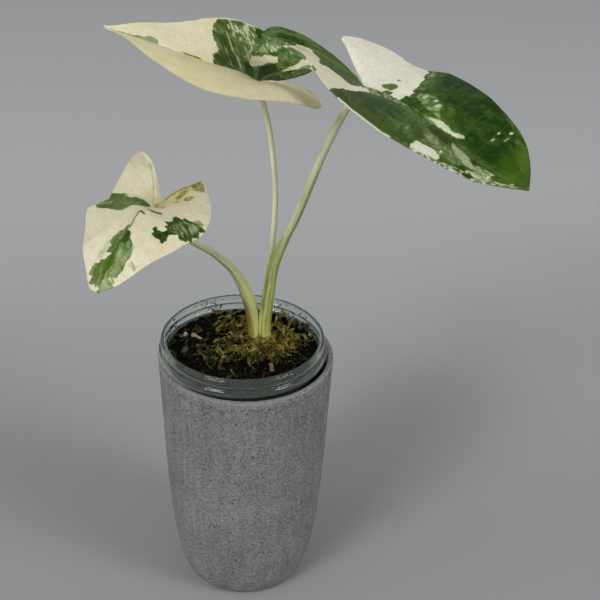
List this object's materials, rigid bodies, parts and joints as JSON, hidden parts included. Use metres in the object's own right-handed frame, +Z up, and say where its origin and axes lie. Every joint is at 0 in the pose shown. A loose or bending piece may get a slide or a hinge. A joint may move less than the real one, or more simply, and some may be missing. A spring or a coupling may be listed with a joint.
{
  "type": "potted variegated giant taro",
  "caption": "Young house plant with large variegated arrow-shaped leaves on slim stalks, growing in a clear cup that hangs in a rough grey tapered cover pot.",
  "frame": {"origin": "centre of the flat foot of the cover pot, on the surface it stands on", "axes": "+Z up along the pot's axis, -Y towards the viewer of the picture, +X to the viewer's right"},
  "size_m": [0.1959, 0.1133, 0.3082],
  "materials": {
    "grey_concrete": "rough, fine-speckled matte",
    "clear_plastic": "clear, glossy",
    "dark_soil": "crumbly, moist",
    "corm_skin": "papery, matte",
    "golden_moss": "fibrous, matte",
    "pale_stalk": "smooth, satin",
    "green_stalk": "smooth, satin, finely ridged",
    "cream_blade": "satin, cream with green marks",
    "green_blade": "satin, dark green with white marks"
  },
  "bodies": {
    "root": {"cover_pot": "grey_concrete", "clear_cup": "clear_plastic", "potting_mix": "dark_soil", "corm": "corm_skin", "front_moss": "golden_moss", "back_moss": "golden_moss", "upper_leaf_stalk": "pale_stalk", "right_leaf_stalk": "green_stalk", "left_leaf_stalk": "green_stalk", "upper_leaf_blade": "cream_blade", "right_leaf_blade": "green_blade", "left_leaf_blade": "cream_blade"}
  },
  "joints": []
}
